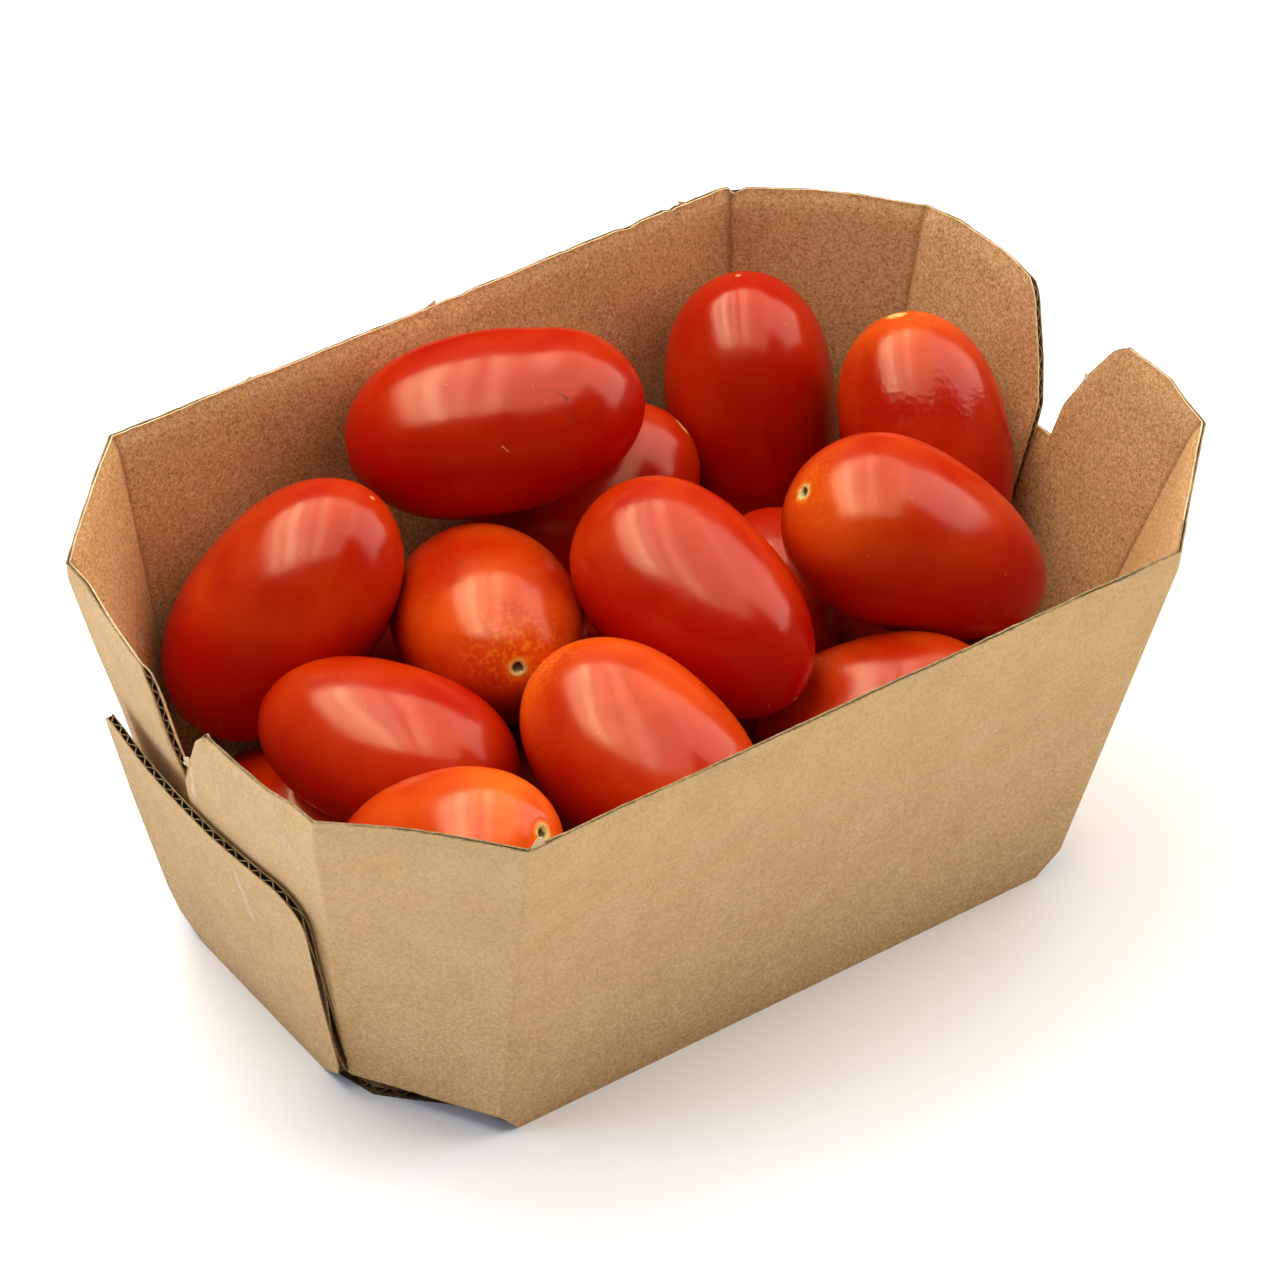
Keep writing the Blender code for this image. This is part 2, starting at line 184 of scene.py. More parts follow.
# The face towards the fruit: browner, rough and densely flecked, with painted shade in its creases
# and towards its foot. It is worn pale where the right end was bent inwards once, with a line of
# painted shade beside that bend, and under the far rim.
INNER_MARKS = (
    ((67.4, -6.3, 48.6), (61.4, -28.0, 42.5), 0.40, 0.45, "#f0cc9c"),
    # painted shade: the dark line beside the worn pale one is the shade in that old bend
    ((67.9, -7.2, 47.8), (61.9, -28.2, 41.6), 0.45, 0.40, "#84552c"),
    ((-48.0, 46.0, 57.6), (26.0, 46.0, 57.4), 1.3, 0.28, "#f4d8a8"),
)
INNER_KRAFT = kraft(
    "kraft_liner_inner", ("#d2a05f", "#c89657"), "#84552c", "#eec596", 0.9, 1.7, 0.12, 0.8, INNER_MARKS
)
# The wavy sheet and the hidden sides of the liners: raw brown, darkened with painted shade, as they lie
# in deep shade.
SHADED_FLUTING = kraft("kraft_fluting_painted_shade", ("#6a4a2c", "#543a22"), "#2c1c0e", "#8a6840", 0.4)
# Cut edges: torn fibres that catch the light, duller where the blade cut clean, and dark where it
# pressed the board shut, with painted shade in that dark.
TORN_EDGE = kraft("kraft_torn_edge", ("#e2c294", "#cfa874"), "#a07848", "#fbe8c6", 0.6)
CLEAN_EDGE = kraft("kraft_clean_edge", ("#987c50", "#866a42"), "#5a4426", "#c0a070", 0.7)
PRESSED_SHADED_EDGE = kraft("kraft_pressed_edge_painted_shade", ("#5a4228", "#4a341e"), "#281a0c", "#8c6c44", 0.6)
KRAFT_MIX = (OUTER_KRAFT, INNER_KRAFT, SHADED_FLUTING, TORN_EDGE, CLEAN_EDGE, PRESSED_SHADED_EDGE)
OUTER, INNER, RAW_SHADED, TORN, CLEAN, PRESSED_SHADED = range(6)
TEAR_START = 55.0  # the near side's edge is torn to the right of this


def sheet(front, back, front_tone, back_tone, edge_tones):
    """A closed sheet between two grids, whose rows hold x, y, z and how creased the card is there.

    The two materials of its edge are those to the left and to the right of the tear.
    """
    columns, rows = front.shape[:2]
    count = columns * rows
    at = np.arange(count).reshape(columns, rows)
    quads = np.stack([at[:-1, :-1], at[1:, :-1], at[1:, 1:], at[:-1, 1:]], -1).reshape(-1, 4)
    ring = np.concatenate([at[:, 0], at[-1, 1:], at[-2::-1, -1], at[0, -2:0:-1]])
    beside = np.roll(ring, -1)
    edge = np.stack([beside, ring, ring + count, beside + count], -1)
    points = np.concatenate([front.reshape(-1, 4), back.reshape(-1, 4)])
    faces = np.concatenate([quads, quads[:, ::-1] + count, edge])
    torn = np.where(points[ring, 0] < TEAR_START, *edge_tones)
    tones = np.concatenate([np.full(len(quads), front_tone), np.full(len(quads), back_tone), torn])
    return points[:, :3], faces, tones, points[:, 3]


def piece(name, parts, materials, node_name, sharp=40.0):
    """An object from parts of (points in mm, faces, materials of the faces), riding on the body.

    A part may have a fourth item, a value for each point that says how near a crease it is.
    """
    points = np.concatenate([part[0] for part in parts]) * MM
    starts = np.cumsum([0] + [len(part[0]) for part in parts[:-1]])
    faces = [face + start for part, start in zip(parts, starts) for face in part[1]]
    mesh = bpy.data.meshes.new(name)
    mesh.from_pydata(points.tolist(), [], [face.tolist() for face in faces])
    mesh.polygons.foreach_set("material_index", np.concatenate([part[2] for part in parts]))
    for material in materials:
        mesh.materials.append(material)
    mesh.shade_smooth()
    mesh.set_sharp_from_angle(angle=math.radians(sharp))
    if len(parts[0]) > 3:
        creases = mesh.attributes.new("crease", "FLOAT", "POINT")
        creases.data.foreach_set("value", np.concatenate([part[3] for part in parts]))
    mesh.update()
    made = bpy.data.objects.new(name, mesh)
    bpy.context.scene.collection.objects.link(made)
    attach(made, "root")
    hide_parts(node_name)
    return made


def wander(where, pace, seed):
    """A smooth random value from -1 to 1 along a line, with a new bend about every pace."""
    count = 256
    knots = np.random.default_rng(seed).uniform(-1, 1, count)
    place = np.asarray(where) / pace + count / 2
    before = np.floor(place).astype(int)
    part = place - before
    part = part * part * (3 - 2 * part)
    return knots[before % count] * (1 - part) + knots[(before + 1) % count] * part


def uneven(where, waves, seed):
    """The sum of waves of (height, pace), each with a seed of its own."""
    return sum(high * wander(where, pace, seed + step) for step, (high, pace) in enumerate(waves))


def smooth(low, high, value):
    """0 below low, 1 above high, and an even rise between them."""
    part = np.clip((value - low) / (high - low), 0.0, 1.0)
    return part * part * (3 - 2 * part)


def board(grid, wave_grid, wave_axis, edges, phase=0.0):
    """The three sheets of corrugated board, from functions that give a grid of points at a depth.

    Depth runs from 0 at the outer face to 1 at the inner one. The wavy sheet has a grid of its own,
    and the edges are the materials of the cut edges of the outer liner, inner liner and wavy sheet.
    """
    skin = LINER / BOARD
    outer = sheet(grid(0.0), grid(skin), OUTER, RAW_SHADED, edges[0])
    inner = sheet(grid(1 - skin), grid(1.0), RAW_SHADED, INNER, edges[1])
    place = wave_grid(0.5)[..., wave_axis]
    stray, pace, seed = FLUTE_STRAY
    turn = 2 * np.pi * (place + phase + stray * wander(place, pace, seed)) / FLUTE_PITCH
    swing = 0.5 - skin - 0.4 * FLUTE_SHEET / BOARD
    slope = 2 * np.pi / FLUTE_PITCH * swing * BOARD * np.cos(turn)
    half = 0.5 * FLUTE_SHEET / BOARD * np.sqrt(1 + slope**2)
    middle = 0.5 + swing * np.sin(turn)
    wave = sheet(wave_grid(middle - half), wave_grid(middle + half), RAW_SHADED, RAW_SHADED, edges[2])
    return [outer, inner, wave]


def base_grid(across_step, along_steps, recess):
    """Grids of the base at any depth: columns across it and rows along it."""
    half_width = BASE_HALVES[-1][0] - recess
    across = np.linspace(-half_width, half_width, round(2 * half_width / across_step) + 1)
    halves = np.array(BASE_HALVES)
    reach = np.interp(np.abs(across), halves[:, 0], halves[:, 1]) - recess
    along = np.linspace(-1, 1, along_steps + 1)

    def grid(depth):
        points = np.zeros((len(across), len(along), 4))
        points[..., 0] = reach[:, None] * along
        points[..., 1] = across[:, None]
        points[..., 2] = BOARD * depth
        return points

    return grid


BASE_COLUMN = 1.2
BASE_ROWS = 24
BASE_RECESS = 0.3  # how far the wavy sheet stays behind the cut edges
# The base's cut edges are the pressed edge, whose dark has painted shade in it.
PRESSED_SHADED_EDGES = ((PRESSED_SHADED, PRESSED_SHADED), (PRESSED_SHADED, PRESSED_SHADED), (RAW_SHADED, RAW_SHADED))
base_liners = base_grid(BASE_COLUMN, BASE_ROWS, 0.0)
base_wave = base_grid(FLUTE_PITCH / FLUTE_STEPS, BASE_ROWS, BASE_RECESS)
base_parts = board(base_liners, base_wave, 1, PRESSED_SHADED_EDGES)
piece("base_board", base_parts, KRAFT_MIX, "punnet")


# ---- The long sides ------------------------------------------------
# Each long side leans out from its fold and runs on round the corner as a corner panel and an end
# flap, creased at the folds. The die has cut the slanted flap edges across the flutes, so they show
# as a row of cells, while the long rim runs along the flutes and is pinched shut.

SIDE_FOLD = 84.6
SIDE_LEAN = math.tan(math.radians(10.2))
END_ANGLE = math.radians(14.0)
END_LEAN = math.tan(END_ANGLE)
FUSE = 0.3
SIDE_FOOT = (45.6, 4.1)
SIDE_TOP_HALF = 46.5
CORNER_RIM = 28.4
CORNER_FOOT = (18.6, 2.6)
RIM_ARCH = 0.8
CORNER_COLUMNS = 8
FOLD_ROUND = 0.4  # how far from a fold its rounding starts
END_BOW = (2.2, 1.5)
BOW_HALF = 24.0
BOW_HEIGHT = 40.0
GLUED = 0.88  # how far a layer is pressed together where the flaps are glued
GLUED_HEIGHT = (38.0, 45.0)  # the glued part of a flap ends between these heights
RIM_GAP = 0.12  # how much of the space for the flutes is left where the rim is pinched
SLANT_GAP = 0.56  # and where the flaps' slanted edges are
RIM_LEVEL = (0.86, 0.985)  # an edge is slanted below the first of these, and level above the second
RIM_WAVES = ((0.13, 6.0), (0.06, 1.3))  # (height, pace) of how the rim wanders
GAP_WAVES = ((0.12, 9.0), (0.08, 2.0))  # and of how its gap varies
PINCH_REACH = 1.6
FLAP_START = (64.0, 68.0)  # the corner panels turn into flaps at these distances along X at the rim
CREASE_BEND = 0.4  # a wall that bends by so many radians in a millimetre is creased there
CREASE_REACH = 1.0
BLADE_CORNER = (0.3, 0.45)  # how far from a corner the blade bends: a share of the edge, and at most this

# The upper edge of each flap from its fold, as (distance across the end, height)
NEAR_FLAP_RIGHT = (
    (-20.0, 61.6), (-11.2, 60.8), (-9.4, 59.3), (-6.5, 54.0), (-3.8, 47.4), (-3.4, 42.2),
    (7.0, 42.0),
)
FAR_FLAP_RIGHT = (
    (-22.5, 61.2), (-12.5, 61.2), (-7.4, 60.5), (-5.8, 59.0), (-1.6, 51.4), (0.7, 46.0),
    (1.2, 34.0),
)
NEAR_FLAP_LEFT = (
    (-19.0, 58.4), (-8.0, 59.3), (-7.4, 59.2), (-5.4, 57.0), (-1.9, 50.2), (1.6, 43.3), (1.8, 36.0),
    (9.0, 34.0),
)
FAR_FLAP_LEFT = (
    (-23.5, 59.4), (-17.4, 58.4), (-8.4, 57.0), (-7.4, 54.5), (-6.5, 46.0), (-4.4, 39.0),
    (-4.0, 34.0),
)


def end_face(height, layers):
    """Distance along X of the face that lies so many layers inside an end panel's outer face."""
    return BASE_LENGTH / 2 + END_LEAN * height - layers * (BOARD / math.cos(END_ANGLE) - FUSE)


def side_face(height):
    return BASE_WIDTH / 2 + SIDE_LEAN * height


def bowed(points):
    """The points of a wall moved out with the bow of its end."""
    depth = np.where(points[..., 0] < 0, *END_BOW)
    across = np.clip(1 - (points[..., 1] / BOW_HALF) ** 2, 0.0, None)
    rise = np.sin(np.pi / 2 * np.clip(points[..., 2] / BOW_HEIGHT, 0.0, 1.0))
    moved = points.copy()
    moved[..., 0] += np.sign(points[..., 0]) * depth * across * rise
    return moved


def cut_corners(outline):
    """The outline with each corner replaced by two points near it, as a die's bent blade cuts it."""
    found = [outline[0]]
    for before, corner, after in zip(outline, outline[1:], outline[2:]):
        for other in (before, after):
            gap = math.dist(corner, other)
            share = min(BLADE_CORNER[0], BLADE_CORNER[1] / gap)
            found.append(tuple(c + (o - c) * share for c, o in zip(corner, other)))
    return [*found, outline[-1]]


def flap_foot(reach):
    """Where the column under a point of a flap's upper edge meets its lower edge."""
    straight = -10.0
    if reach >= straight:
        return reach
    part = (reach + CORNER_RIM) / (straight + CORNER_RIM)
    return -CORNER_FOOT[0] + part * (straight + CORNER_FOOT[0])


def half_strip(corner, outline, layers):
    """Stations of the right half of the near strip: (low point, high point, whether it is a fold)."""
    half, rim = corner
    foot, lift = SIDE_FOOT
    stations = [
        ((SIDE_FOLD / 2, -side_face(0.0), 0.0), (SIDE_TOP_HALF, -side_face(RIM), RIM), False),
        ((foot, -side_face(lift), lift), (half, -side_face(rim), rim), True),
    ]
    flap = []
    low_z = CORNER_FOOT[1]
    for reach, height in cut_corners(((-CORNER_RIM, RIM), *outline)):
        low = (end_face(low_z, layers), flap_foot(reach), low_z)
        flap.append((low, (end_face(height, layers), reach, height), reach == -CORNER_RIM))
    for step in range(1, CORNER_COLUMNS):
        part = step / CORNER_COLUMNS
        low, high = (
            np.array(stations[1][end]) + (np.array(flap[0][end]) - stations[1][end]) * part
            for end in (0, 1)
        )
        high[2] += RIM_ARCH * math.sin(math.pi * part)
        stations.append((low, high, False))
    return [(np.array(low), np.array(high), fold) for low, high, fold in stations + flap]


def turned_over(stations, axis):
    """The stations mirrored along an axis, in the order that keeps their outer face out."""
    turn = np.ones(3)
    turn[axis] = -1
    return [(low * turn, high * turn, fold) for low, high, fold in reversed(stations)]


def rounded(stations):
    """The ends of the stations, with each fold as five columns round a small curve."""
    found = []
    for place, (low, high, fold) in enumerate(stations):
        if not fold:
            found.append((low, high))
            continue
        column = []
        for end in (0, 1):
            corner = stations[place][end]
            before, after = (stations[place + step][end] - corner for step in (-1, 1))
            before *= FOLD_ROUND / np.linalg.norm(before)
            after *= FOLD_ROUND / np.linalg.norm(after)
            part = np.linspace(0, 1, 5)[:, None]
            column.append(corner + before * (1 - part) ** 2 + after * part**2)
        found.extend(zip(*column))
    return found


def closer(stations, widest, steepest):
    """The stations with more between them, so that no column is wide or steps far up or down."""
    found = [stations[0]]
    for (low, high), (next_low, next_high) in zip(stations, stations[1:]):
        move = np.abs(next_high - high)
        parts = math.ceil(max(np.hypot(move[0], move[1]) / widest, move[2] / steepest))
        for part in np.arange(1, parts + 1) / parts:
            found.append((low + (next_low - low) * part, high + (next_high - high) * part))
    return np.array(found)


def wall_grid(stations, rows, anchor, seed, nicks=(), recess=0.0):
    """Grids of a folded wall at any depth. Rows are shares of the way up from the lower edge.

    The anchor is the depth that stays in place where glue presses the layers together.
    """
    low, high = stations[:, 0].copy(), stations[:, 1].copy()
    run = np.cumsum(np.r_[0, np.linalg.norm(np.diff(high, axis=0), axis=1)])
    tangent = np.gradient(high, axis=0)
    level = np.hypot(tangent[:, 0], tangent[:, 1]) / np.linalg.norm(tangent, axis=1)
    rise = level * uneven(run, RIM_WAVES, seed)
    for middle, half_width, depth in nicks:
        rise -= depth * np.exp(-(((high[:, 0] - middle) / half_width) ** 2))
    tall = np.linalg.norm(high - low, axis=1)[:, None]
    high += (high - low) / tall * rise[:, None]
    tall = tall + rise[:, None]
    rows = rows[None, :] * (1 - recess / tall)
    outer = bowed(low[:, None] + (high - low)[:, None] * rows[..., None])
    along = np.diff(outer, axis=0)
    up = np.gradient(outer, axis=1)
    facing = np.cross(along, up[1:] + up[:-1])
    facing /= np.linalg.norm(facing, axis=-1, keepdims=True)
    before, after = np.concatenate([facing[:1], facing]), np.concatenate([facing, facing[-1:]])
    straight = (before * after).sum(-1, keepdims=True)
    mitre = (before + after) / (1 + straight)
    step = np.linalg.norm(along, axis=-1, keepdims=True)
    step = (np.concatenate([step[:1], step]) + np.concatenate([step, step[-1:]])) / 2
    bend = np.median(np.arccos(np.clip(straight, -1.0, 1.0)) / step, axis=(1, 2))
    from_fold = np.abs(run[:, None] - run[bend > CREASE_BEND]).min(axis=1) / CREASE_REACH
    crease = np.repeat(np.exp(-(from_fold**2))[:, None, None], rows.shape[1], axis=1)
    from_rim = (1 - rows) * tall
    is_flap = smooth(*FLAP_START, np.abs(outer[..., 0]) - END_LEAN * (outer[..., 2] - RIM))
    pressed = 1 - is_flap * (1 - GLUED) * (1 - smooth(*GLUED_HEIGHT, outer[..., 2]))
    shut = RIM_GAP + uneven(run, GAP_WAVES, seed + len(RIM_WAVES))
    shut = (SLANT_GAP + (shut - SLANT_GAP) * smooth(*RIM_LEVEL, level))[:, None]
    pinch = 1 - (1 - shut) * np.exp(-((from_rim / PINCH_REACH) ** 2))
    half_gap = 0.5 - LINER / BOARD

    def grid(depth):
        """The liners keep their thickness where the rim is pinched, and the wavy sheet gives way."""
        off = depth - 0.5
        inside = np.clip(off, -half_gap, half_gap)
        share = 0.5 + off - inside * (1 - pinch)
        share = anchor + (share - anchor) * pressed
        return np.concatenate([outer - mitre * (BOARD * share)[..., None], crease], -1)

    return grid


FROM_RIM = (0.0, 0.2, 0.45, 0.75, 1.1, 1.6, 2.4, 4.0, 7.0)
LINER_ROWS = np.concatenate([np.linspace(0, 50, 11) / RIM, 1 - np.array(FROM_RIM[::-1]) / RIM])
LINER_COLUMNS = (1.0, 0.5)  # the widest and the steepest step from one column to the next
WAVE_COLUMNS = (3.5, 0.4)
WAVE_RECESS = 0.05


def long_side(name, far, left, right, layers, anchor, edges, seed, nicks=()):
    """A long side with its corner panels and flaps, from each end's upper corner and flap outline."""
    stations = [*turned_over(half_strip(*left, layers), 0), *half_strip(*right, layers)]
    if far:
        stations = turned_over(stations, 1)
    stations = rounded(stations)
    wave_rows = np.linspace(0, 1, round(RIM * FLUTE_STEPS / FLUTE_PITCH) + 1)
    liners = wall_grid(closer(stations, *LINER_COLUMNS), LINER_ROWS, anchor, seed, nicks)
    wave = wall_grid(closer(stations, *WAVE_COLUMNS), wave_rows, anchor, seed, nicks, WAVE_RECESS)
    return piece(name, board(liners, wave, 2, edges), KRAFT_MIX, "punnet")


# The near side is the second layer at the ends, over the far side's flaps.
long_side(
    "near_side",
    False,
    ((51.7, RIM), NEAR_FLAP_LEFT),
    ((50.7, RIM), NEAR_FLAP_RIGHT),
    1,
    0.5,
    ((CLEAN, CLEAN), (CLEAN, TORN), (CLEAN, CLEAN)),
    seed=3,
)
# The far side is the innermost layer at the ends. Its rim was torn from the next blank, so that its
# inner liner is rough and pale, and a little uneven.
FAR_NICKS = ((4.2, 0.8, 0.25), (31.7, 1.2, 0.35), (38.7, 0.5, 0.4), (49.6, 0.7, 0.9))
long_side(
    "far_side",
    True,
    ((50.7, RIM), FAR_FLAP_LEFT),
    ((48.8, 59.8), FAR_FLAP_RIGHT),
    2,
    1.0,
    ((CLEAN, CLEAN), (TORN, TORN), (CLEAN, CLEAN)),
    seed=11,
    nicks=FAR_NICKS,
)


# ---- The torn bits -------------------------------------------------
# Slivers of liner still hang on the edges where the blanks were torn apart, and a nub stands on the
# near rim: thin, curled and pale.

ALONG_END, ALONG_SIDE = (1.0, 0.0, 0.0), (0.0, 1.0, 0.0)
# (root, tip, width at the root, what the wall faces), where the root lies on the edge
SLIVERS = (
    ((-49.9, -46.2, 59.2), (-49.4, -46.2, 61.3), 2.4, ALONG_SIDE),
    ((-29.9, 46.2, 59.7), (-28.6, 46.35, 60.2), 0.8, ALONG_SIDE),
    ((-0.9, 46.2, 59.8), (0.3, 46.1, 60.6), 1.0, ALONG_SIDE),
    ((16.6, 45.9, 60.1), (17.4, 45.2, 58.9), 1.0, ALONG_SIDE),
    ((38.2, 45.9, 60.0), (38.9, 45.3, 59.2), 0.8, ALONG_SIDE),
    ((41.2, 46.1, 59.8), (40.2, 46.3, 60.5), 0.7, ALONG_SIDE),
    ((68.5, -6.9, 53.1), (68.6, -6.2, 54.2), 1.3, ALONG_END),
    ((-70.0, -1.9, 50.3), (-70.3, -0.8, 50.0), 1.0, ALONG_END),
    ((-69.8, -1.5, 49.6), (-70.1, -0.5, 48.9), 0.8, ALONG_END),
)
SLIVER_STEPS = 6
SLIVER_CURL = 0.2
SLIVER_HALF = 0.06  # half its thickness


def sliver(root, tip, width, facing):
    """A closed blade of paper that narrows and curls up towards its tip."""
    root, tip = np.array(root), np.array(tip)
    along = np.linspace(0, 1, SLIVER_STEPS + 1)[:, None, None]
    side = np.cross(tip - root, facing)
    side /= np.linalg.norm(side)
    up = np.cross(side, tip - root)
    up /= np.linalg.norm(up)
    across = np.linspace(-0.5, 0.5, 4)[None, :, None]
    middle = root + (tip - root) * along + up * SLIVER_CURL * along**2
    face = middle + side * across * width * (1 - 0.7 * along**2)
    uncreased = np.zeros((*face.shape[:2], 1))
    layers = [np.concatenate([face + up * rise, uncreased], -1) for rise in (SLIVER_HALF, -SLIVER_HALF)]
    return sheet(*layers, TORN, TORN, (TORN, TORN))


piece("torn_bits", [sliver(*each) for each in SLIVERS], KRAFT_MIX, "punnet")


# ---- The end panels ------------------------------------------------
# An end panel hinges on the base and is glued over the two end flaps. Its flutes run upwards, so
# its top edge shows as a row of cells, and it stands a little off the flaps at its edges.

END_FOLD = 27.8
END_SHOULDER = (19.1, 3.8)
END_HALF = 21.8
END_HEIGHT = (39.9, 39.6)
END_ROUND = (5.0, 2.0)
LIFT = 0.15  # how far the free edges bend out
LIFT_REACH = 7.0
CRUSHED = 0.36  # the share of the thickness that is lost at the free edges
CRUSH_REACH = (3.0, 0.2)  # it is lost between these distances from the edge
END_WAVES = ((0.12, 4.0), (0.05, 1.1))
END_COLUMN = 1.2
END_WAVE_ROWS = 30
END_RECESS = 0.2
# The heights over which the lift, the pressing and the crushing start at the foot
LIFT_START, PRESS_START, CRUSH_START = (2.0, 12.0), (0.0, 4.0), (2.0, 6.0)


def end_stations(step):
    """Low and high points of the right-hand end panel, from near to far."""
    across = np.linspace(-END_HALF, END_HALF, round(2 * END_HALF / step) + 1)
    halving = 0.5 ** np.arange(1, 7)
    rounds = [side * (END_HALF - radius * halving) for side, radius in zip((-1, 1), END_ROUND)]
    across = np.unique(np.concatenate([across, *rounds]))
    corner = np.interp(across, (-END_HALF, END_HALF), END_HEIGHT)
    radius = np.where(across < 0, *END_ROUND)
    into_round = np.clip(np.abs(across) - (END_HALF - radius), 0.0, None)
    high = corner - radius + np.sqrt(np.clip(radius**2 - into_round**2, 0.0, None))
    fold, (shoulder, lift) = END_FOLD / 2, END_SHOULDER
    low = np.interp(np.abs(across), (fold, shoulder), (0.0, lift))
    outside = np.clip((np.abs(across) - shoulder) / (END_HALF - shoulder), 0.0, 1.0)
    low += outside * (corner - radius - 1.0 - lift)
    return np.array(
        [
            ((end_face(bottom, 0), y, bottom), (end_face(top, 0), y, top))
            for y, bottom, top in zip(across, low, high)
        ]
    )


def end_grid(stations, rows, seed, left, recess=0.0):
    """Grids of an end panel at any depth."""
    low, high = stations[:, 0].copy(), stations[:, 1].copy()
    high[:, 2] += uneven(high[:, 1], END_WAVES, seed)
    tall = np.linalg.norm(high - low, axis=1)[:, None]
    rows = rows[None, :] * (1 - recess / tall)
    outer = low[:, None] + (high - low)[:, None] * rows[..., None]
    if left:
        outer = outer[::-1] * np.array((-1, 1, 1))
    outer = bowed(outer)
    along, up = np.gradient(outer, axis=0), np.gradient(outer, axis=1)
    facing = np.cross(along, up)
    facing /= np.linalg.norm(facing, axis=-1, keepdims=True)
    from_top = (1 - rows) * tall
    from_side = END_HALF - np.abs(outer[..., 1])
    near_edge = np.minimum(from_top[::-1] if left else from_top, from_side)
    height = outer[..., 2]
    off = LIFT * np.clip(1 - near_edge / LIFT_REACH, 0.0, 1.0) ** 2 * smooth(*LIFT_START, height)
    outer[..., 0] += off * (-1 if left else 1)
    pressed = 1 - (1 - GLUED) * smooth(0.0, LIFT_REACH, near_edge) * smooth(*PRESS_START, height)
    crushed = 1 - CRUSHED * smooth(*CRUSH_REACH, near_edge) * smooth(*CRUSH_START, height)
    crease = np.zeros((*near_edge.shape, 1))

    def grid(depth):
        """The cut crushes the free edges, which leaves a gap behind them."""
        layers = outer - facing * (BOARD * depth * crushed * pressed)[..., None]
        return np.concatenate([layers, crease], -1)

    return grid


END_EDGES = ((CLEAN, CLEAN), (CLEAN, CLEAN), (CLEAN, CLEAN))
END_PHASE = 0.6
end_wave_rows = np.linspace(0, 1, END_WAVE_ROWS)
for name, left, seed in (("left_end", True, 21), ("right_end", False, 31)):
    liners = end_grid(end_stations(END_COLUMN), LINER_ROWS, seed, left)
    wave = end_stations(FLUTE_PITCH / FLUTE_STEPS)
    wave = end_grid(wave, end_wave_rows, seed, left, END_RECESS)
    piece(name, board(liners, wave, 1, END_EDGES, END_PHASE), KRAFT_MIX, "punnet")


# ---- The fruit -----------------------------------------------------
# Cherry plum tomatoes, picked off the truss, so each has a small corky scar at its stem end and a
# dot at its tip. No two are alike: each has its own length, girth, lobes, dents and blush of orange.

# (name, middle, heading, rise, length, girth, fuller, orange): the heading and the rise, in degrees,
# point at the stem end, and fuller says how much wider that end is than the middle.
SHOWING = (
    ("back_long", (-2.5, 28.5, 53.5), 150, -12, 39.6, 24.4, 0.02, 0.10),
    ("left_leaning", (-36.9, 26.3, 39.0), 163, -54, 39.7, 25.0, 0.02, 0.20),
    ("end_on", (-15.8, 10.2, 38.2), 247, 22, 35.2, 24.4, -0.02, 0.28),
    ("back_upright", (39.9, 27.1, 38.2), 261, -70, 38.2, 23.0, -0.07, 0.10),
    ("right_upright", (51.0, 4.0, 43.4), 85, 57, 35.4, 22.2, 0.04, 0.14),
    ("right_near", (35.2, -14.3, 45.5), 154, 33, 39.2, 23.9, 0.21, 0.16),
    ("middle", (3.5, -7.8, 46.3), 104, 21, 36.5, 23.7, 0.09, 0.12),
    ("under_back", (11.7, 27.4, 32.0), 350, 36, 36.6, 23.2, 0.0, 0.05),
    ("left_near", (-39.1, -0.7, 36.4), 117, -3, 35.5, 21.8, -0.04, 0.14),
    ("front", (-16.3, -23.7, 40.6), 105, 21, 35.5, 24.4, 0.0, 0.30),
    ("front_corner", (-47.4, -25.2, 40.6), 296, 39, 33.6, 21.8, 0.0, 0.40),
    ("front_low", (21.1, -26.1, 29.9), 142, -27, 33.6, 23.2, 0.04, 0.26),
)
# The lower ones are alike, so these have no last two values
BENEATH = (
    ("low_left_near", (-43.9, -16.4, 15.8), 272, 20, 34.4, 21.8),
    ("low_left_mid", (-21.4, 1.6, 14.9), 202, 25, 35.2, 22.2),
    ("low_left_far", (-18.7, 25.2, 16.3), 187, 11, 35.2, 22.2),
    ("low_front", (-18.0, -23.4, 14.7), 326, 23, 35.2, 22.2),
    ("low_mid", (0.2, -9.6, 18.4), 152, 58, 35.2, 21.8),
    ("low_right_near", (43.0, -20.5, 17.2), 256, 48, 34.4, 22.2),
    ("low_right_far", (26.0, 20.5, 14.3), 283, 27, 32.0, 21.0),
    ("low_right_mid", (23.7, -9.2, 12.5), 89, 10, 30.4, 20.2),
    ("low_right_end", (45.2, 7.2, 18.0), 257, 13, 30.4, 20.2),
    ("low_left_end", (-43.8, 13.4, 14.7), 270, 29, 32.0, 20.6),
    ("low_back", (5.6, 11.6, 15.2), 330, 44, 30.4, 20.2),
    ("gap_right", (23.4, 0.6, 29.6), 50, 10, 30.2, 19.2),
)
BENEATH_LOOKS = (0.0, 0.1)
BLUNTNESS = 2.35  # 2 is an ellipsoid, and more is blunter
# Where the skin dips or swells: (fruit, share along it, degrees round it with 90 on top, reach as a
# share of the length, reach in degrees, depth), with a depth below nothing for a swelling.
DENTS = (
    ("back_long", -0.34, 90.0, 0.20, 60.0, 0.55),
    ("back_long", -0.82, 95.0, 0.22, 75.0, -0.80),
    ("back_long", 0.80, 90.0, 0.25, 80.0, -0.35),
    ("middle", -0.60, 85.0, 0.32, 30.0, -0.60),
    ("right_near", -0.35, 60.0, 0.50, 20.0, -0.45),
    ("front", 0.15, 60.0, 0.60, 12.0, 0.16),
    ("right_upright", -0.20, 20.0, 0.60, 22.0, -0.30),
)
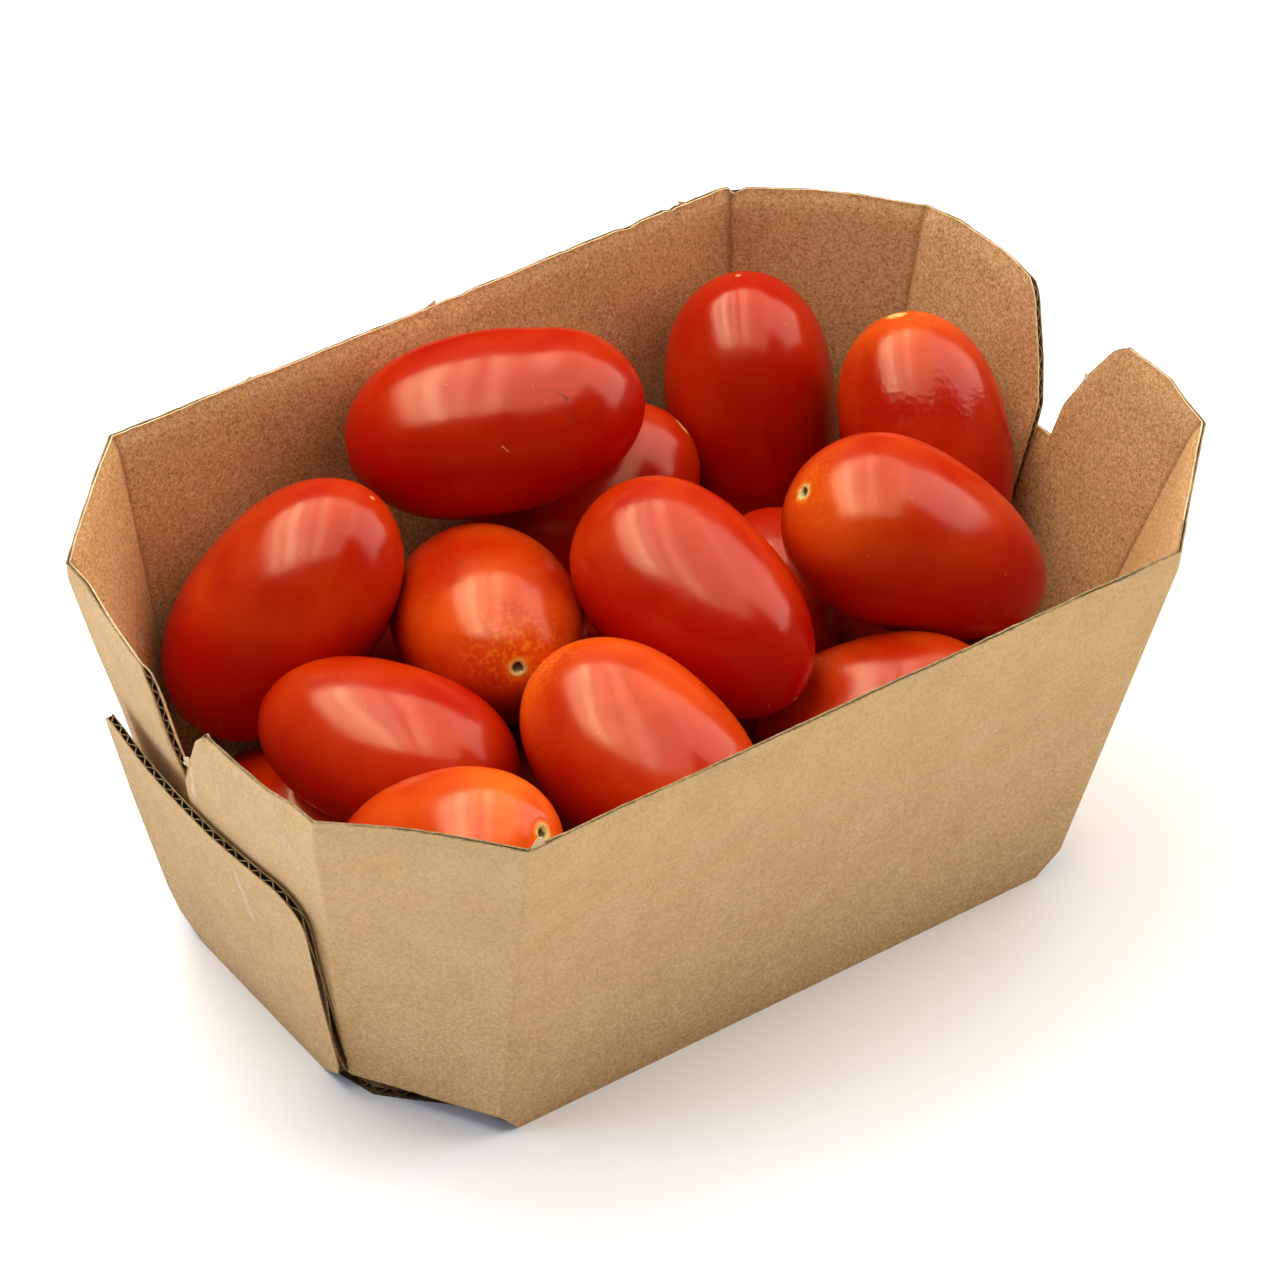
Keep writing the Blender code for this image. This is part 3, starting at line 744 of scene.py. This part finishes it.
# Fruit with a pebbled patch of skin, and how strong it is
PEBBLED = {"right_upright": 1.0, "end_on": 0.35, "right_near": 0.25}
PEBBLED_SIDE = (-0.20, -0.55, 0.81)  # the patch is on this side of the fruit
PEBBLED_REACH = (0.55, 0.9)
APART = 100.0  # so far are the fruit moved apart, so that no two have the same pattern
LOBES = (0.010, 0.008, 0.004)  # how deep its two, its three and its five lobes are
SHADED_UNDERSIDE_ORANGE = 0.08  # painted light: the share of its orange that a fruit keeps on its shaded underside
# painted light: over these heights of the outward direction the orange rises to full on the lit top
TOP_LIGHT_ORANGE_RISE = (-0.1, 0.6)
# Marks on the skin: (start, end, reach, strength, tone)
HEALED = (
    ((-0.2, 19.4, 64.0), (0.8, 17.9, 63.3), 0.30, 0.9, "#5a0806"),
    ((0.8, 17.9, 63.3), (0.2, 16.9, 62.0), 0.22, 0.7, "#5a0806"),
    ((1.4, 17.0, 62.2), (0.9, 15.9, 61.0), 0.35, 0.7, "#5a0806"),
    ((-8.3, 18.9, 58.5), (-7.8, 18.3, 57.9), 0.14, 0.8, "#f4c8a8"),
    ((43.4, 4.1, 55.0), (43.5, 3.0, 54.5), 0.30, 0.8, "#680a06"),
    ((36.7, -16.9, 58.5), (43.1, -20.0, 52.8), 0.20, 0.25, "#7a0a06"),
)
SCAR_HOLLOW = (0.45, 2.6)  # depth and radius
SCAR_RING = (0.20, 1.0, 0.30)  # height, radius and half width
SCAR_HOLE = (0.40, 0.50)  # depth and radius
SCAR_CIRCLES = (2.8, 2.3, 1.9, 1.6, 1.35, 1.15, 0.95, 0.75, 0.55, 0.35, 0.18)  # rows of points round it


def fruit_axes(heading, rise):
    """Unit vectors level across a fruit, up over it and along it, the last towards its stem end."""
    turn, lift = math.radians(heading), math.radians(rise)
    axis = np.array((math.cos(turn) * math.cos(lift), math.sin(turn) * math.cos(lift), math.sin(lift)))
    across = np.cross((0.0, 0.0, 1.0), axis)
    across /= np.linalg.norm(across)
    return across, np.cross(axis, across), axis


def skin_point(spec, along, turn, seed):
    """Points of a fruit's skin in its own axes, at shares along it (1 is the stem end) and angles."""
    name, _, _, _, length, girth, fuller, _ = spec
    along, turn = np.broadcast_arrays(along, turn)
    swell = np.sqrt(np.clip(1 - np.abs(along) ** BLUNTNESS, 0.0, None)) * (1 + fuller * along)
    radius = girth / 2 * swell
    two, three, five = np.random.default_rng(seed).uniform(0, 2 * np.pi, 3)
    lobed = 1 + LOBES[0] * np.cos(2 * turn + two) + LOBES[1] * np.cos(3 * turn + three)
    radius = radius * (lobed + LOBES[2] * np.cos(5 * turn + five + 2 * along))
    for fruit, share, degrees, reach, spread, depth in DENTS:
        if fruit == name:
            away = np.angle(np.exp(1j * (turn - math.radians(degrees)))) / math.radians(spread)
            radius = radius - swell * depth * np.exp(-((along - share) / reach) ** 2 - away**2)
    hollow, reach = SCAR_HOLLOW
    height = -hollow * np.clip(1 - (radius / reach) ** 2, 0.0, None) ** 2
    rise, middle, width = SCAR_RING
    height += rise * np.exp(-(((radius - middle) / width) ** 2))
    height -= SCAR_HOLE[0] * np.exp(-((radius / SCAR_HOLE[1]) ** 2))
    height = along * length / 2 + np.where(along > 0, height, 0.0)
    return np.stack([radius * np.cos(turn), radius * np.sin(turn), height], -1)


def ring_faces(count, around):
    """The faces of closed rings of points, and of the two end points that come after them."""
    at = np.arange(count * around).reshape(count, around)
    beside = np.roll(at, -1, axis=1)
    faces = list(np.stack([at[:-1], beside[:-1], beside[1:], at[1:]], -1).reshape(-1, 4))
    faces += [np.array((at.size, b, a)) for a, b in zip(at[0], beside[0])]
    return faces + [np.array((at.size + 1, a, b)) for a, b in zip(at[-1], beside[-1])]


def fruit_part(spec, around, rings, seed):
    """A fruit's points, faces and materials, and two more values for each point.

    The values are its place in the fruit's own axes, moved apart for each fruit, and a row of facts:
    the share along the fruit, its orange tint with painted light in it, the distance from its axis,
    and how pebbled it is.
    """
    name, middle, heading, rise, length, girth, fuller, orange = spec
    along = -np.cos(np.pi * np.arange(1, rings) / rings)
    close = np.array(SCAR_CIRCLES) / (girth / 2)
    close = (1 - close**2) ** (1 / BLUNTNESS)
    along = np.concatenate([along[along < close[0] - 0.004], close])
    turn = 2 * np.pi * np.arange(around) / around
    own = skin_point(spec, along[:, None], turn[None, :], seed).reshape(-1, 3)
    own = np.concatenate([own, skin_point(spec, np.array((-1.0, 1.0)), np.zeros(2), seed)])
    across, over, axis = fruit_axes(heading, rise)
    points = own @ np.array((across, over, axis)) + middle
    faces = ring_faces(len(along), around)
    shares = np.append(np.repeat(along, around), (-1.0, 1.0))
    outward = (points - middle) / np.linalg.norm(points - middle, axis=1)[:, None]
    pebbled = PEBBLED.get(name, 0.0) * smooth(*PEBBLED_REACH, outward @ np.array(PEBBLED_SIDE))
    # Painted light: the orange is full on the top of each fruit, where the light falls, and fades on its
    # shaded underside.
    above = smooth(*TOP_LIGHT_ORANGE_RISE, outward[:, 2])
    ripened = orange * (SHADED_UNDERSIDE_ORANGE + (1 - SHADED_UNDERSIDE_ORANGE) * above)
    facts = np.stack([shares, ripened, np.hypot(own[:, 0], own[:, 1]), pebbled], -1)
    skins = np.array([pebbled[face].any() for face in faces], int)  # 1 is the pebbled one
    return (points, faces, skins), own + seed * APART, facts


def tomato_skin(name, has_pebbles):
    """Tomato skin: a thin clear waxy coat over wet red flesh, so it is glossy, deep in colour and
    a little translucent. Orange stays where it ripened last, at the shoulders.
    """
    made, add, shader = new_material(name)
    own = add("Attribute", output="Vector", attribute_name="own_place")
    facts = add("Attribute", attribute_name="fruit_facts")
    pebbled = facts.node.outputs["Alpha"]
    along, orange, off_axis = add("SeparateColor", {0: facts}).node.outputs
    # Red, streaked along the fruit, with an orange blush at the shoulder of the less ripe ones. The
    # orange read here has painted light in it: it is stronger on the lit top of each fruit.
    stretched = add("VectorMath", {0: own, 1: (1.0, 1.0, 0.22)}, operation="MULTIPLY")
    streak = add("TexNoise", {"Vector": stretched, "Scale": 0.35, "Detail": 3.0})
    reds = {6: linear("#a40100"), 7: linear("#ae0501")}
    colour = add("Mix", {0: streak, **reds}, 2, data_type="RGBA")
    shoulder = add("MapRange", {0: along, 1: 0.45, 2: 1.0, 3: 0.0, 4: 0.35})
    unripe = add("MapRange", {0: orange, 1: 0.0, 2: 0.2})
    blush = add("Math", {0: shoulder, 1: unripe, 2: orange}, operation="MULTIPLY_ADD")
    cloud = add("TexNoise", {"Vector": own, "Scale": 0.09, "Detail": 2.0})
    cloud = add("MapRange", {0: cloud, 1: 0.35, 2: 0.65, 3: 0.5, 4: 1.5})
    blush = add("Math", {0: blush, 1: cloud}, operation="MULTIPLY", use_clamp=True)
    # Yellow netting round the scar, where the skin stretched as the fruit grew. It shows on skin
    # that is half ripe, and not on the orange ones.
    mesh = add("TexNoise", {"Vector": own, "Scale": 1.5, "Detail": 2.0})
    mesh = add("MapRange", {0: mesh, 1: 0.50, 2: 0.60})
    near_scar = add("MapRange", {0: off_axis, 1: 9.0, 2: 2.0})
    high_up = add("MapRange", {0: along, 1: 0.5, 2: 0.8, 3: 0.0, 4: 0.42})
    unripe = add("MapRange", {0: orange, 1: 0.1, 2: 0.3})
    ripe_enough = add("MapRange", {0: orange, 1: 0.39, 2: 0.30})
    for share in (near_scar, high_up, unripe, ripe_enough):
        mesh = add("Math", {0: mesh, 1: share}, operation="MULTIPLY")
    # Pale specks of cork, 0.2 mm across
    speck = add("TexVoronoi", {"Vector": own, "Scale": 0.45}, feature="F1")
    chosen = add("SeparateColor", {0: speck.node.outputs["Color"]})
    chosen = add("MapRange", {0: chosen, 1: 0.6, 2: 0.9, 3: 0.0, 4: 0.6})
    speck = add("MapRange", {0: speck, 1: 0.06, 2: 0.03})
    speck = add("Math", {0: speck, 1: chosen}, operation="MULTIPLY")
    for share, tone in ((blush, "#ee6210"), (mesh, "#f0a024"), (speck, "#f0a070")):
        colour = add("Mix", {0: share, 6: colour, 7: linear(tone)}, 2, data_type="RGBA")
    # Healed cracks, dark red, and a curl of dry skin
    place = add("TexCoord", output="Object")
    spot = add("VectorMath", {0: place, "Scale": 1 / MM}, operation="SCALE")
    ragged = add("TexNoise", {"Vector": own, "Scale": 2.0, "Detail": 2.0})
    colour, cracks = marked(add, spot, colour, ragged, 2.0, 1.8, HEALED)
    healed = 0.0
    for mark in cracks:
        healed = add("Math", {0: healed, 1: mark}, operation="MAXIMUM")
    # The scar, from the outside in: a yellow halo, a corky ring and a brown hole
    wobble = add("TexNoise", {"Vector": own, "Scale": 1.1, "Detail": 2.0})
    wobble = add("MapRange", {0: wobble, 1: 0.3, 2: 0.7, 3: -0.25, 4: 0.25})
    wavy = add("Math", {0: off_axis, 1: wobble}, operation="ADD")
    at_stem = add("MapRange", {0: along, 1: 0.0, 2: 0.1})
    cork = add("TexNoise", {"Vector": own, "Scale": 2.5, "Detail": 2.0})
    corks = {6: linear("#b8a04c"), 7: linear("#ddc07c")}
    cork = add("Mix", {0: cork, **corks}, 2, data_type="RGBA")
    for wide, narrow, strength, tone in (
        (1.9, 1.2, 0.7, linear("#e88a1c")),
        (1.25, 1.05, 1.0, cork),
        (0.75, 0.5, 1.0, linear("#4c3418")),
    ):
        inside = add("MapRange", {0: wavy, 1: wide, 2: narrow, 3: 0.0, 4: strength})
        inside = add("Math", {0: inside, 1: at_stem}, operation="MULTIPLY")
        colour = add("Mix", {0: inside, 6: colour, 7: tone}, 2, data_type="RGBA")
    # The dot at the tip, where the flower was
    at_tip = add("MapRange", {0: along, 1: 0.0, 2: -0.1, 3: 0.0, 4: 0.8})
    dot = add("MapRange", {0: off_axis, 1: 0.45, 2: 0.25})
    dot = add("Math", {0: dot, 1: at_tip}, operation="MULTIPLY")
    colour = add("Mix", {0: dot, 6: colour, 7: linear("#e0b070")}, 2, data_type="RGBA")
    # Wax is unevenly smooth, and cork is rough
    cloud = add("TexNoise", {"Vector": own, "Scale": 0.25, "Detail": 4.0})
    rough = add("MapRange", {0: cloud, 1: 0.35, 2: 0.7, 3: 0.18, 4: 0.26})
    corky = add("MapRange", {0: wavy, 1: 1.25, 2: 1.05, 3: 0.0, 4: 0.4})
    rough = add("Math", {0: corky, 1: at_stem, 2: rough}, operation="MULTIPLY_ADD")
    rough = add("Math", {0: healed, 1: 0.4, 2: rough}, operation="MULTIPLY_ADD")
    # Pores, and drop-like pebbles 0.5 mm across on the patches that have them
    pebble = 0.0
    if has_pebbles:
        pebble = add("TexVoronoi", {"Vector": own, "Scale": 1.5}, feature="SMOOTH_F1")
        pebble = add("Math", {0: pebble, 1: pebbled}, operation="MULTIPLY")
    pores = add("TexNoise", {"Vector": own, "Scale": 1.2, "Detail": 3.0})
    relief = add("Math", {0: pores, 1: 0.35, 2: pebble}, operation="MULTIPLY_ADD")
    bump = add("Bump", {"Height": relief, "Strength": 0.4, "Distance": 0.12 * MM})
    fill(shader, {"Base Color": colour, "Roughness": rough, "Normal": bump})
    fill(shader, {"IOR": 1.42, "Specular IOR Level": 0.2, "Subsurface Weight": 0.3})
    fill(shader, {"Subsurface Radius": (1.0, 0.15, 0.05), "Subsurface Scale": 2.5 * MM})
    return made


TOMATO_SKINS = (tomato_skin("tomato_skin_waxy", False), tomato_skin("tomato_skin_pebbled", True))
FRUIT_SHARP = 60.0  # in degrees, so that even the scar's rim is smooth


def fruit_piece(name, specs, skins, around, rings, first_seed):
    """Several fruit as one object."""
    made = [fruit_part(spec, around, rings, first_seed + place) for place, spec in enumerate(specs)]
    parts, own, facts = zip(*made)
    heap = piece(name, parts, skins, "tomatoes", FRUIT_SHARP)
    own, facts = np.concatenate(own), np.concatenate(facts)
    kept = heap.data.attributes.new("own_place", "FLOAT_VECTOR", "POINT")
    kept.data.foreach_set("vector", own.astype(np.float32).ravel())
    kept = heap.data.attributes.new("fruit_facts", "FLOAT_COLOR", "POINT")
    kept.data.foreach_set("color", facts.astype(np.float32).ravel())
    return heap


fruit_piece("showing_fruit", SHOWING, TOMATO_SKINS, around=96, rings=56, first_seed=100)
lower = [(*spec, *BENEATH_LOOKS) for spec in BENEATH]
fruit_piece("lower_fruit", lower, TOMATO_SKINS[:1], around=64, rings=36, first_seed=200)

# What is under them is one lumpy mass that stands for more fruit, deep red with painted shade, and it
# shows only as dark gaps.
# (height, half length, half width) of its rings
CORE_RINGS = (
    (2.4, 46.0, 30.0), (14.0, 48.0, 31.0), (18.0, 44.0, 27.0), (24.0, 34.0, 18.0),
    (27.0, 22.0, 10.0),
)
CORE_SIDES = 72
CORE_LEVELS = 25
CORE_LUMP = 0.05


def heap_core():
    """Closed rings of a rounded block, with lumps as large as fruit."""
    round_it = 2 * np.pi * np.arange(CORE_SIDES) / CORE_SIDES
    rings = []
    heights = np.linspace(CORE_RINGS[0][0], CORE_RINGS[-1][0], CORE_LEVELS)
    table = np.array(CORE_RINGS)
    for height in heights:
        long, wide = (np.interp(height, table[:, 0], table[:, column]) for column in (1, 2))
        lumps = 1 + CORE_LUMP * np.sin(9 * round_it + 0.4 * height) * np.cos(0.3 * height)
        across, deep = np.cos(round_it), np.sin(round_it)
        fat = (np.abs(across) ** 4 + np.abs(deep) ** 4) ** -0.25 * lumps
        level = np.full(CORE_SIDES, height)
        rings.append(np.stack([long * across * fat, wide * deep * fat, level], -1))
    points = np.concatenate([*rings, [[0.0, 0.0, heights[0]], [0.0, 0.0, heights[-1]]]])
    faces = ring_faces(CORE_LEVELS, CORE_SIDES)
    return points, faces, np.zeros(len(faces), int)


def shaded_skin():
    """Skins seen only through gaps: deep red, with the shade of the heap in it."""
    made, add, shader = new_material("tomato_skin_in_shade")
    place = add("TexCoord", output="Object")
    cloud = add("TexNoise", {"Vector": place, "Scale": 0.2 / MM, "Detail": 2.0})
    reds = {6: linear("#5c0301"), 7: linear("#780501")}
    colour = add("Mix", {0: cloud, **reds}, 2, data_type="RGBA")
    fill(shader, {"Base Color": colour, "Roughness": 0.6, "IOR": 1.42, "Specular IOR Level": 0.05})
    return made


piece("heap_core", [heap_core()], [shaded_skin()], "tomatoes", FRUIT_SHARP)


# ---- The light, the floor and the camera ---------------------------
# A plain pale sweep in a room with a row of windows overhead, a lower one at the right, and softer
# light from the left and from behind.


def matt_paint():
    """Matt white emulsion on a studio sweep."""
    made, add, shader = new_material("studio_white")
    place = add("TexCoord", output="Object")
    cloud = add("TexNoise", {"Vector": place, "Scale": 6.0, "Detail": 2.0})
    whites = {6: linear("#fdfdfc"), 7: linear("#fafaf9")}
    colour = add("Mix", {0: cloud, **whites}, 2, data_type="RGBA")
    fill(shader, {"Base Color": colour, "Roughness": 0.9})
    return made


FLOOR_HALF = 3.0
floor_mesh = bpy.data.meshes.new("floor")
floor_corners = [(x * FLOOR_HALF, y * FLOOR_HALF, 0.0) for x, y in ((-1, -1), (1, -1), (1, 1), (-1, 1))]
floor_mesh.from_pydata(floor_corners, [], [(0, 1, 2, 3)])
floor_mesh.materials.append(matt_paint())
floor = bpy.data.objects.new("floor", floor_mesh)
bpy.context.scene.collection.objects.link(floor)
floor.visible_glossy = False  # in the real room the wax doesn't mirror so bright a floor

world = bpy.data.worlds.new("pale_room")
world.use_nodes = True
fill(world.node_tree.nodes["Background"], {"Color": linear("#fbfaf8"), "Strength": 0.11})
world.cycles_visibility.glossy = False
bpy.context.scene.world = world

# The windows stand square to the line of sight, turned this far from +X. Some lamps are the light
# that they shed, and the others are the glints of their panes on wax.
ROOM_TURN = math.radians(-36.6)
# (name, middle as (across, deep, high), width, depth, tilts in degrees, radiance, colour, use)
LAMPS = (
    ("skylight", (-0.48, 0.28, 1.25), 0.70, 1.8, (0, 0), 5.6, "#ffffff", "shed"),
    ("side_window", (1.08, 0.38, 0.82), 1.39, 1.32, (0, 56), 2.95, "#ffffff", "shed"),
    ("left_window", (-1.3, -0.3, 0.45), 1.0, 0.6, (0, -70), 4.5, "#bcd6ff", "shed"),
    ("back_window", (0.0, 1.3, 0.6), 1.6, 0.6, (-65, 0), 4.0, "#ffffff", "shed"),
    ("glint_far_left", (-1.30, 0.10, 1.1), 0.26, 1.9, (0, 0), 8.5, "#ffeebc", "glint"),
    ("glint_left", (-1.04, 0.10, 1.1), 0.22, 1.9, (0, 0), 26.0, "#ffeebc", "glint"),
    ("glint_left_pane", (-0.70, 0.10, 1.1), 0.26, 1.9, (0, 0), 29.0, "#ffeebc", "glint"),
    ("glint_middle", (-0.40, 0.10, 1.1), 0.18, 1.9, (0, 0), 16.5, "#ffe6bc", "glint"),
    ("glint_middle_pane", (-0.12, 0.10, 1.1), 0.22, 1.9, (0, 0), 17.5, "#ffe6bc", "glint"),
    ("glint_right", (0.30, 0.10, 1.1), 0.60, 1.9, (0, 0), 8.0, "#ffe2bc", "glint"),
    ("glint_side", (0.98, 0.35, 0.75), 1.26, 1.2, (0, 56), 7.5, "#ffe8d0", "glint"),
)
for name, (across, deep, high), wide, tall, tilts, radiance, tint, use in LAMPS:
    light = bpy.data.lights.new(name, "AREA")
    light.shape = "RECTANGLE"
    light.size, light.size_y = wide, tall
    light.energy = radiance * math.pi * wide * tall
    light.color = linear(tint)[:3]
    lamp = bpy.data.objects.new(name, light)
    bpy.context.scene.collection.objects.link(lamp)
    lamp.location = Matrix.Rotation(ROOM_TURN, 3, "Z") @ Vector((across, deep, high))
    lamp.rotation_euler = (math.radians(tilts[0]), math.radians(tilts[1]), ROOM_TURN)
    lamp.visible_glossy = use == "glint"
    lamp.visible_diffuse = use == "shed"

# The camera stands where the photograph was taken from, as fitted to the corners of the tray.
CAMERA_PLACE = (-400.14, -492.89, 584.51)
CAMERA_RIGHT = (0.80275421, -0.59389534, 0.05360971)
CAMERA_DOWN = (-0.35698306, -0.55063809, -0.75456)
CAMERA_FORWARD = (0.47764921, 0.58658846, -0.65403762)
FOCAL_PIXELS = 6484.0
IMAGE_PIXELS = 1280.0
lens = bpy.data.cameras.new("camera")
lens.sensor_width = 36.0
lens.lens = lens.sensor_width * FOCAL_PIXELS / IMAGE_PIXELS
lens.clip_start, lens.clip_end = 0.01, 20.0
camera = bpy.data.objects.new("camera", lens)
bpy.context.scene.collection.objects.link(camera)
stand = np.eye(4)
stand[:3, :3] = np.array((CAMERA_RIGHT, CAMERA_DOWN, CAMERA_FORWARD)).T * (1, -1, -1)
stand[:3, 3] = np.array(CAMERA_PLACE) * MM
camera.matrix_world = Matrix(stand.tolist())
bpy.context.scene.camera = camera
bpy.context.scene.view_settings.view_transform = "Standard"
